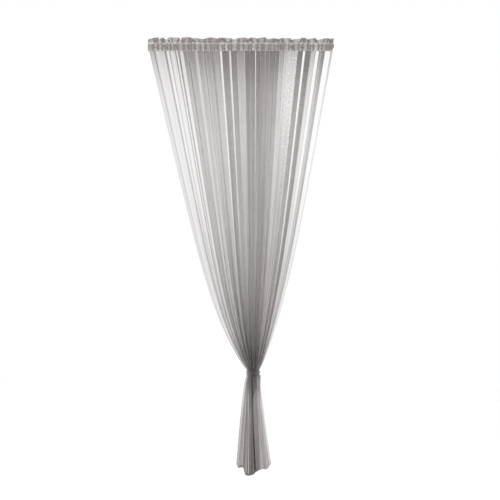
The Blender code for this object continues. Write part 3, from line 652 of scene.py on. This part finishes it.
def header_points(sizes):
    """The pocket and the ruffle over it as one strip round the rod.

    The strip's section goes from the seam under the rod up its front, pinches at the seam over
    the rod, goes up and down the ruffle, and comes back behind the rod. Pleats push it outwards
    by a half sine and sideways by a whole one, which turns their sides under. There are four
    sets of pleats: a in the pocket, b in the ruffle, small ones (c) in both, and broad puffs (d)
    that raise and lower the ruffle's top. Cloth in the creases is denser and has painted shade.
    A painted highlight runs along the pocket's head over the rod, the creases at the pocket's
    foot get more painted shade, and a lighter line runs just above the foot.
    """
    random = np.random.default_rng(HEADER_SEED)
    x = np.linspace(POCKET_LEFT, POCKET_RIGHT, sizes.columns)
    body = ROD_R + 0.0006
    # each point's distance out and height, and the strength of pleats a, b and c there
    half = np.array(
        [
            (0.0006, POCKET_FOOT, 0.10, 0.0, 0.6),
            (0.0030, POCKET_FOOT + 0.0035, 0.45, 0.0, 0.8),
            (0.0066, -0.0150, 0.9, 0.0, 1.0),
            (body * 0.97, -0.0075, 1.0, 0.0, 1.0),
            (body, 0.0, 1.0, 0.0, 1.0),
            (body * 0.92, 0.0046, 0.9, 0.0, 1.0),
            (body * 0.62, 0.0082, 0.7, 0.0, 0.9),
            (0.0034, POCKET_HEAD - 0.0016, 0.35, 0.0, 0.8),
            (0.0028, POCKET_HEAD + 0.0010, 0.30, 0.15, 0.8),
            (0.0032, POCKET_HEAD + 0.0050, 0.2, 0.6, 0.9),
            (0.0036, POCKET_HEAD + 0.0120, 0.0, 0.9, 1.0),
            (0.0032, RUFFLE_TOP - 0.0110, 0.0, 1.0, 1.0),
            (0.0018, RUFFLE_TOP - 0.0040, 0.0, 1.0, 0.9),
            (0.0000, RUFFLE_TOP - 0.0022, 0.0, 1.0, 0.8),
        ]
    )
    behind = half[::-1][1:].copy()
    behind[:, 0] *= -1.0
    section = np.concatenate([half, behind])
    way = np.concatenate([[0.0], np.cumsum(np.hypot(*np.diff(section[:, :2], axis=0).T))])
    v = np.linspace(0.0, way[-1], sizes.round_rows)
    y, z, puff, ruffle, small = (np.interp(v, way, column)[:, None] for column in section.T)
    slope = np.gradient(np.concatenate([y, z], axis=1), axis=0)
    slope /= np.linalg.norm(slope, axis=1, keepdims=True)
    out_y, out_z = slope[:, 1:], -slope[:, :1]
    back = np.where(v > way[-1] / 2.0, 1.0, 0.0)[:, None]

    share_a, width_a, height_a = pleats(random, 0.009, 0.028, x)
    share_b, width_b, height_b = pleats(random, 0.010, 0.036, x)
    share_c, width_c, height_c = pleats(random, 0.005, 0.010, x)
    share_d, _, height_d = pleats(random, 0.035, 0.085, x)
    height_d = height_d + (1.0 - height_d) * 0.8 * smoothstep(0.25, 0.05, x)
    crown_a = np.sin(math.pi * share_a) ** 0.7 * height_a
    crown_b = np.sin(math.pi * share_b) ** 0.7 * height_b
    crown_c = np.sin(math.pi * share_c) ** 0.8 * height_c
    crown_d = np.sin(math.pi * share_d) * height_d
    push = 0.0068 * puff * crown_a + 0.0024 * small * crown_c
    push = push + 0.0062 * ruffle * crown_b * (1.0 - 0.4 * back)
    slide = -0.40 * np.maximum(puff, 0.3) * width_a * np.sin(math.tau * share_a)
    slide = slide * (1.0 - ruffle) - 0.45 * ruffle * width_b * np.sin(math.tau * share_b)
    slide = slide - 0.42 * small * width_c * np.sin(math.tau * share_c)
    slide = slide + 0.0022 * np.sin(z * 260.0 + x * 170.0) * np.sin(x * 57.0) * (1.0 - ruffle)
    lean = 0.009 * np.sin(x * 43.0 + 1.2) + 0.006 * np.sin(x * 97.0)
    slide = slide + ruffle * lean * np.clip((z - POCKET_HEAD) / 0.03, 0.0, 1.0)
    sway = ruffle * 0.0042 * np.sin(math.tau * (x / 0.047 + 0.4 * np.sin(x * 21.0)))
    rise = np.clip((z - POCKET_HEAD) / (RUFFLE_TOP - POCKET_HEAD), 0.0, 1.0)
    top = rise * (0.0150 * (crown_d - 0.98) + 0.0052 * (crown_b - 0.75)) * ruffle
    fall = np.clip((POCKET_HEAD - z) / (POCKET_HEAD - POCKET_FOOT), -0.6, 1.0)
    right_end = smoothstep(POCKET_RIGHT - 0.06, POCKET_RIGHT, x)
    slide = slide - 0.008 * smoothstep(0.5, 1.0, fall) * right_end
    points = np.stack(
        np.broadcast_arrays(
            np.clip(x + slide, POCKET_LEFT - 0.001, POCKET_RIGHT + 0.001),
            -(y + out_y * push) + sway,
            z - out_z * push * (1.0 - ruffle) + top + 0.0007 * np.sin(x * 240.0) * ruffle,
        ),
        axis=-1,
    )
    cloth_uv = np.stack(np.broadcast_arrays(sizes.fullness * x[None, :], v[:, None]), axis=-1)
    open_a = smoothstep(0.0, 0.28, np.minimum(share_a, 1.0 - share_a))
    open_b = smoothstep(0.0, 0.30, np.minimum(share_b, 1.0 - share_b))
    open_cloth = open_a * (1.0 - ruffle) + open_b * ruffle
    ends = np.minimum(x - x[0], x[-1] - x)
    open_cloth = open_cloth * smoothstep(0.0, 0.006, ends)
    # a painted highlight along the pocket's head, over the rod
    ridge = bell(z, POCKET_HEAD + 0.0012 * np.sin(x * 61.0), 0.0022)
    ridge = ridge * (0.50 + 0.45 * np.sin(x * 83.0) * np.sin(x * 29.0 + 0.7))
    # where the creases at the pocket's foot get more painted shade
    foot = smoothstep(POCKET_FOOT + 0.011, POCKET_FOOT + 0.002, z)
    patchy = np.sin(x * 390.0 + z * 210.0) * np.sin(x * 131.0 - z * 330.0 + 1.0)
    # painted shade in the creases, lighter where the cloth lies open
    shade = 0.79 + 0.24 * open_cloth + 0.04 * patchy
    shade = shade * (1.0 + 1.2 * ridge) * (1.0 - 0.4 * foot * (1.0 - open_a))
    # a lighter line just above the pocket's foot
    shade = shade * (1.0 + 0.45 * smoothstep(POCKET_FOOT + 0.0045, POCKET_FOOT + 0.0015, z))
    clumps = 0.90 + 0.22 * np.sin(x * 31.0 + 2.0) * np.sin(x * 13.0)
    cover = (3.0 - open_cloth) * (1.0 - 0.2 * ridge) * clumps * (1.0 + 0.12 * patchy)
    seams_over = bell(v, way[SEAM_ROW], 0.0012) + bell(v, way[-1 - SEAM_ROW], 0.0012)
    seams_under = bell(v, 0.0, 0.0014) + bell(v, way[-1], 0.0014)
    stitch = np.minimum(seams_over + seams_under, 1.0)[:, None]
    return points, cloth_uv, {"cover": cover, "shade": shade, "crinkle": 0.45, "stitch": stitch}


class CURTAIN_OT_header(bpy.types.Operator):
    """Ruche the rod pocket and its ruffled heading round the rod"""

    bl_idname = "curtain.header"
    bl_label = "Header"

    def execute(self, context):
        sizes = sizes_of(context, "curtain_header")
        cloth_sizes = sizes_of(context, "curtain_cloth")
        header = grid_object("header_cloth", *header_points(sizes))
        header.data.materials.append(voile_finish("voile_header", cloth_sizes))
        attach(header, "curtain")
        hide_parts("heading_ruffle", "rod_pocket_front", "rod_pocket_back")
        return {"FINISHED"}


# ---------------------------------------------------------------- tie


def sash_grid(sizes):
    """The angle round the sash, the way down it from -1 to 1, and its ridges.

    Two sets of ridges run round it and wander up and down: a broad one and a finer, lower one.
    """
    angle = np.linspace(0.0, math.tau, sizes.sash_columns, endpoint=False)[None, :]
    way = np.linspace(-1.0, 1.0, SASH_ROWS)[:, None]
    broad = np.sin(way * 9.0 + 0.9 * np.sin(angle * 2.0 + 0.4))
    fine = np.sin(way * 17.0 + 1.3 * np.sin(angle * 3.0 + 1.9))
    return angle, way, broad + 0.6 * fine


def sash_points(sizes):
    """An oval ring whose radius follows the ridges and curls in at its edges."""
    angle, way, ridges = sash_grid(sizes)
    ridge = ridges * 0.0010
    curl = -0.0012 * np.abs(way) ** 4
    reach_x = NECK_HALF[0] - 0.0018 + ridge + curl
    reach_y = NECK_HALF[1] - 0.0018 + ridge + curl
    height = NECK_HALF[2] * (0.93 + 0.07 * np.sin(angle * 2.0 + 1.0))
    points = np.stack(
        np.broadcast_arrays(
            NECK[0] + reach_x * np.cos(angle),
            reach_y * np.sin(angle),
            NECK[2] - way * height,
        ),
        axis=-1,
    )
    cloth_uv = np.stack(np.broadcast_arrays(angle * 0.03, way * 0.03), axis=-1)
    return points, cloth_uv


def sash_looks(sizes):
    """Thinner at its sides and edges, and lighter there, with painted light at its sides and ridges."""
    angle, way, ridges = sash_grid(sizes)
    around = np.cos(angle)
    # painted light at the sides, most on the left
    light = np.where(around < 0.0, 6.0, 3.5) * around**2
    # a painted dark line near the top, and painted highlights along the ridges
    line = 1.0 - 0.15 * bell(way, -0.72, 0.16) + 0.22 * ridges
    return {
        "cover": (1.3 - 1.15 * around**2) * (1.0 - 0.85 * np.abs(way) ** 5),
        "shade": sizes.shade * (1.0 + light) * line,
    }


def knot_points():
    """A rounded bundle whose surface is wound with slanting folds."""
    low, high = (np.array(corner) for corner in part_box("tie_knot"))
    middle, half = (low + high) / 2.0, (high - low) / 2.0
    turn = np.linspace(0.0, math.tau, KNOT_COLUMNS, endpoint=False)[None, :]
    tilt = np.linspace(-math.pi / 2.0, math.pi / 2.0, KNOT_ROWS)[:, None]
    fold = 1.0 - 0.09 * np.abs(np.sin(2.5 * turn + 3.2 * np.sin(tilt)))
    ring = np.cos(tilt) ** 0.55
    points = np.stack(
        np.broadcast_arrays(
            middle[0] + half[0] * ring * fold * np.cos(turn),
            middle[1] + half[1] * ring * fold * np.sin(turn),
            middle[2] + half[2] * np.sign(tilt) * np.abs(np.sin(tilt)) ** 0.8,
        ),
        axis=-1,
    )
    cloth_uv = np.stack(np.broadcast_arrays(turn * 0.01, tilt * 0.01), axis=-1)
    return points[::-1], cloth_uv


def end_points(node, curl):
    """A narrow strip folded lengthwise: a flat oval section that twists and curls as it hangs."""
    low, high = (np.array(corner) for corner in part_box(node))
    middle, half = (low + high) / 2.0, (high - low) / 2.0
    turn = np.linspace(0.0, math.tau, END_COLUMNS, endpoint=False)[None, :]
    way = np.linspace(0.0, 1.0, END_ROWS)[:, None]
    round_off = np.clip(np.minimum(way, 1.0 - way) * 30.0, 0.0, 1.0) ** 0.5
    taper = (1.0 - 0.25 * way) * round_off
    twist = curl * np.sin(way * 3.4) * 0.25
    wide = half[0] * 0.95 * taper * np.cos(turn)
    thick = half[1] * 0.75 * taper * np.sin(turn) * (1.0 + 0.3 * np.cos(3.0 * turn))
    points = np.stack(
        np.broadcast_arrays(
            middle[0] + wide * np.cos(twist) - thick * np.sin(twist),
            middle[1] + wide * np.sin(twist) + thick * np.cos(twist),
            high[2] - (high[2] - low[2]) * way - 0.0012 * way * np.cos(turn),
        ),
        axis=-1,
    )
    cloth_uv = np.stack(np.broadcast_arrays(turn * 0.003, way * 0.09), axis=-1)
    return points, cloth_uv


class CURTAIN_OT_tie(bpy.types.Operator):
    """Wrap the sash round the neck, with its knot and its two loose ends behind it"""

    bl_idname = "curtain.tie"
    bl_label = "Tie"

    def execute(self, context):
        sizes = sizes_of(context, "curtain_tie")
        cloth_sizes = sizes_of(context, "curtain_cloth")
        finish = voile_finish("voile_tie", cloth_sizes, density=sizes.density)
        # painted shade, the same on the knot and the ends as on the sash
        values = {"cover": 1.0, "shade": sizes.shade, "crinkle": 0.0, "stitch": 0.0}
        sash_values = {**values, **sash_looks(sizes)}
        sash = grid_object("tie_sash", *sash_points(sizes), sash_values, closed_round=True)
        knot = grid_object("tie_knot_cloth", *knot_points(), values, closed_round=True)
        right = grid_object(
            "tie_end_right_cloth", *end_points("tie_end_right", 1.0), values, closed_round=True
        )
        behind = grid_object(
            "tie_end_back_cloth", *end_points("tie_end_back", -0.8), values, closed_round=True
        )
        rows = (
            (sash, "curtain", "tie_band"),
            (knot, "curtain", "tie_knot"),
            (right, "right_tie_end", "tie_end_right"),
            (behind, "back_tie_end", "tie_end_back"),
        )
        for piece, body, node in rows:
            piece.data.materials.append(finish)
            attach(piece, body)
            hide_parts(node)
        return {"FINISHED"}


# ---------------------------------------------------------------- rod


def spring_points(sizes):
    """A round wire whose middle line goes round the rod's axis and forward at a steady pitch."""
    low, high = (np.array(corner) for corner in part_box("tension_spring"))
    wire, turns = sizes.wire_radius, sizes.spring_turns
    coil = (high[2] - low[2]) / 2.0 - wire
    way = np.linspace(0.0, 1.0, turns * WIRE_ROWS + 1)[:, None]
    turn = np.linspace(0.0, math.tau, WIRE_COLUMNS, endpoint=False)[None, :]
    angle = way * turns * math.tau
    thick = wire * np.clip(np.minimum(way, 1.0 - way) * 400.0, 0.0, 1.0)
    reach = coil + thick * np.cos(turn)
    points = np.stack(
        np.broadcast_arrays(
            low[0] + wire + (high[0] - low[0] - 2.0 * wire) * way + thick * np.sin(turn),
            reach * np.sin(angle),
            reach * np.cos(angle),
        ),
        axis=-1,
    )
    cloth_uv = np.stack(np.broadcast_arrays(turn * wire, way), axis=-1)
    return points, cloth_uv


class CURTAIN_OT_spring(bpy.types.Operator):
    """Wind the tension spring, and work out how much of its length it keeps when the rod is pressed in"""

    bl_idname = "curtain.spring"
    bl_label = "Tension spring"

    def execute(self, context):
        sizes = sizes_of(context, "curtain_rod")
        low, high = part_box("tension_spring")
        spring = grid_object("spring_wire", *spring_points(sizes), {}, closed_round=True)
        spring.data.materials.append(wire_finish("spring_steel", tuple(sizes.steel)))
        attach(spring, "rod_base")
        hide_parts("tension_spring")
        joint = next(row for row in frame["joints"] if row["name"] == "spring_travel")
        travel = joint["range_m"][1] - joint["range_m"][0]
        keep = 1.0 - travel / (high.x - low.x)
        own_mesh(spring)
        return {"FINISHED"}


class CURTAIN_OT_rod(bpy.types.Operator):
    """Give the rod's tubes, plastics, rubber feet and washer their finishes"""

    bl_idname = "curtain.rod"
    bl_label = "Rod finishes"

    def execute(self, context):
        sizes = sizes_of(context, "curtain_rod")
        paint, plastic, rubber = tuple(sizes.paint), tuple(sizes.plastic), tuple(sizes.rubber)
        finishes = {
            "tube_paint": paint_finish("rod_paint", paint, 0.32, 1500.0, metallic=0.1),
            "white_plastic": paint_finish("rod_plastic", plastic, 0.48, 800.0),
            "foot_rubber": paint_finish("rod_rubber", rubber, 0.8, 500.0),
            "spring_steel": wire_finish("rod_steel", tuple(sizes.steel)),
        }
        for part in frame["record"]["subparts"]:
            finish = finishes.get(part["material_slot"])
            if finish:
                frame["nodes"][part["node"]].material_slots[0].material = finish
        return {"FINISHED"}


# ---------------------------------------------------------------- stage


def plane(name, corners, material):
    mesh = bpy.data.meshes.new(name)
    mesh.from_pydata(corners, [], [(0, 1, 2, 3)])
    thing = bpy.data.objects.new(name, mesh)
    thing.data.materials.append(material)
    bpy.context.scene.collection.objects.link(thing)


def area_light(name, place, target, size, power):
    data = bpy.data.lights.new(name, "AREA")
    data.shape = "SQUARE"
    data.size = size
    data.energy = power
    lamp = bpy.data.objects.new(name, data)
    direction = Vector(target) - Vector(place)
    lamp.rotation_euler = direction.to_track_quat("-Z", "Y").to_euler()
    lamp.location = place
    bpy.context.scene.collection.objects.link(lamp)


class CURTAIN_OT_stage(bpy.types.Operator):
    """Set the pale floor, the soft light and the camera"""

    bl_idname = "curtain.stage"
    bl_label = "Stage"

    def execute(self, context):
        stage = sizes_of(context, "curtain_stage")
        scene = context.scene
        pale = Finish("pale_floor", roughness=0.9)
        pale.set("Base Color", (FLOOR_GREY, FLOOR_GREY, FLOOR_GREY, 1.0))
        pale.set("Emission Color", (1.0, 1.0, 1.0, 1.0))
        pale.set("Emission Strength", FLOOR_GLOW)
        z = TAIL_FOOT - stage.floor_drop
        half = stage.floor_half
        corners = [(-half, -half, z), (half, -half, z), (half, half, z), (-half, half, z)]
        plane("floor", corners, pale.material)
        world = bpy.data.worlds.new("white_room")
        world.use_nodes = True
        background = world.node_tree.nodes["Background"]
        background.inputs["Color"].default_value = (1.0, 1.0, 1.0, 1.0)
        background.inputs["Strength"].default_value = 1.0
        scene.world = world
        middle = (stage.aim[0], 0.0, stage.aim[1])
        area_light("key", (-1.6, -3.2, 0.9), middle, stage.key_size, stage.key)
        data = bpy.data.cameras.new("camera")
        data.sensor_width = 36.0
        data.lens = 36.0 * stage.distance / stage.view_width
        camera = bpy.data.objects.new("camera", data)
        camera.location = (stage.aim[0], -stage.distance, stage.aim[1])
        camera.rotation_euler = (math.pi / 2.0, 0.0, 0.0)
        scene.collection.objects.link(camera)
        scene.camera = camera
        scene.view_settings.view_transform = "Standard"
        scene.cycles.transparent_max_bounces = 48
        return {"FINISHED"}


# ---------------------------------------------------------------- settings and panel


def length(name, default, about):
    return bpy.props.FloatProperty(
        name=name, description=about, default=default, unit="LENGTH", precision=4
    )


def number(name, default, about):
    return bpy.props.FloatProperty(name=name, description=about, default=default)


def whole(name, default, about):
    return bpy.props.IntProperty(name=name, description=about, default=default, min=4)


def colour(name, default, about):
    return bpy.props.FloatVectorProperty(
        name=name, description=about, default=default, subtype="COLOR", min=0.0, max=1.0
    )


class ClothSizes(bpy.types.PropertyGroup):
    seam_overlap: length("Seam overlap", 0.0025, "How far the drape reaches into the pocket's seam")
    top_margin: length("Top margin", 0.003, "How far in from the pocket's ends the cloth starts")
    bulge: length("Bulge", 0.004, "How far the bundle stands past the tie on each side")
    bulge_height: length("Bulge height", 0.008, "Height of the narrowing just above the tie")
    left_slope: number("Left slope", 0.238, "How fast the left edge leans in, per unit of drop")
    left_power: number("Left bend", 7.0, "How late the left edge bends in to the tie")
    right_slope: number("Right slope", 0.180, "How fast the right edge leans in")
    right_power: number("Right bend", 5.0, "How late the right edge bends in to the tie")
    flare_left: length("Left flare", 0.050, "How far the tail spreads to the left")
    flare_right: length("Right flare", 0.058, "How far the tail spreads to the right")
    layer_gap: length("Layer gap", 0.0018, "Between the layers of a fold, under the pocket")
    hem: length("Hem", 0.012, "Depth of the turned hem")
    fan_rows: whole("Rows above the tie", 46, "Rows of the mesh from the pocket to the tie")
    tail_rows: whole("Rows below the tie", 26, "Rows of the mesh from the tie to the hem")
    columns: whole("Columns", 1150, "Columns of the mesh across the cloth")
    thread_pitch: length("Thread pitch", 0.0005, "From one thread of the weave to the next")
    layer_cover: number("Cover", 0.35, "How much of what is behind it one layer hides")
    sheen: number("Sheen", 0.25, "Soft gloss of the fibres")
    valley_light: number("Valley light", 22.0, "Lightening of the tail's deep folds, per metre")
    streak: number("Streaks", 2.1, "How much the cloth's density varies from crease to crease")
    thread_light: colour("Light thread", (0.304, 0.275, 0.272), "The paler threads")
    thread_dark: colour("Dark thread", (0.246, 0.220, 0.217), "The darker threads")


class HeaderSizes(bpy.types.PropertyGroup):
    columns: whole("Columns", 1700, "Columns of the mesh along the rod")
    round_rows: whole("Rows", 56, "Rows of the mesh round the rod and over the ruffle")
    fullness: number("Fullness", 3.05, "Width of the flat cloth over the width of the header")


class TieSizes(bpy.types.PropertyGroup):
    sash_columns: whole("Columns", 160, "Columns of the mesh round the sash")
    density: number("Density", 3.5, "How many layers the folded sash counts for")
    # painted shade of the whole tie
    shade: number("Shade", 0.18, "How dark the folded sash is beside the open cloth")


class RodSizes(bpy.types.PropertyGroup):
    wire_radius: length("Spring wire radius", 0.0007, "Half the thickness of the spring's wire")
    spring_turns: whole("Spring turns", 7, "How often the wire goes round")
    paint: colour("Paint", (0.80, 0.80, 0.79), "Powder coat on both tubes")
    plastic: colour("Plastic", (0.78, 0.78, 0.76), "Collar, plugs, screw, guide and nut")
    rubber: colour("Rubber", (0.33, 0.33, 0.33), "The feet")
    steel: colour("Steel", (0.55, 0.56, 0.58), "The spring and its washer")


class StageSizes(bpy.types.PropertyGroup):
    distance: length("Distance", 6.0, "From the camera to the curtain")
    view_width: length("View width", 2.425, "Width that the camera takes in at the curtain")
    aim: bpy.props.FloatVectorProperty(
        name="Aim",
        description="X and Z of the point that the camera faces",
        size=2,
        default=(0.495, -0.990),
        unit="LENGTH",
    )
    floor_drop: length("Floor drop", 0.20, "From the hem down to the floor")
    floor_half: length("Floor half width", 6.0, "From the rod's left end to the floor's edges")
    key_size: length("Key light size", 2.0, "Side of the square key light")
    key: number("Key light", 60.0, "Power of the soft key light, in watts")


class CURTAIN_PT_panel(bpy.types.Panel):
    bl_idname = "CURTAIN_PT_panel"
    bl_label = "Curtain"
    bl_space_type = "VIEW_3D"
    bl_region_type = "UI"
    bl_category = "Curtain"

    def draw(self, context):
        for operator in OPERATORS:
            self.layout.operator(operator.bl_idname)
        for name, group in SETTINGS.items():
            box = self.layout.box()
            box.label(text=group.__name__)
            for key in group.__annotations__:
                box.prop(sizes_of(context, name), key)


OPERATORS = (
    CURTAIN_OT_stage,
    CURTAIN_OT_cloth,
    CURTAIN_OT_header,
    CURTAIN_OT_tie,
    CURTAIN_OT_spring,
    CURTAIN_OT_rod,
)
SETTINGS = {
    "curtain_cloth": ClothSizes,
    "curtain_header": HeaderSizes,
    "curtain_tie": TieSizes,
    "curtain_rod": RodSizes,
    "curtain_stage": StageSizes,
}


def register():
    for group in SETTINGS.values():
        bpy.utils.register_class(group)
    for name, group in SETTINGS.items():
        setattr(bpy.types.Scene, name, bpy.props.PointerProperty(type=group))
    for operator in OPERATORS:
        bpy.utils.register_class(operator)
    bpy.utils.register_class(CURTAIN_PT_panel)


def unregister():
    bpy.utils.unregister_class(CURTAIN_PT_panel)
    for operator in reversed(OPERATORS):
        bpy.utils.unregister_class(operator)
    for name, group in SETTINGS.items():
        delattr(bpy.types.Scene, name)
        bpy.utils.unregister_class(group)


def main():
    register()
    for operator in OPERATORS:
        getattr(bpy.ops.curtain, operator.bl_idname.split(".")[1])()


if __name__ == "__main__":
    main()
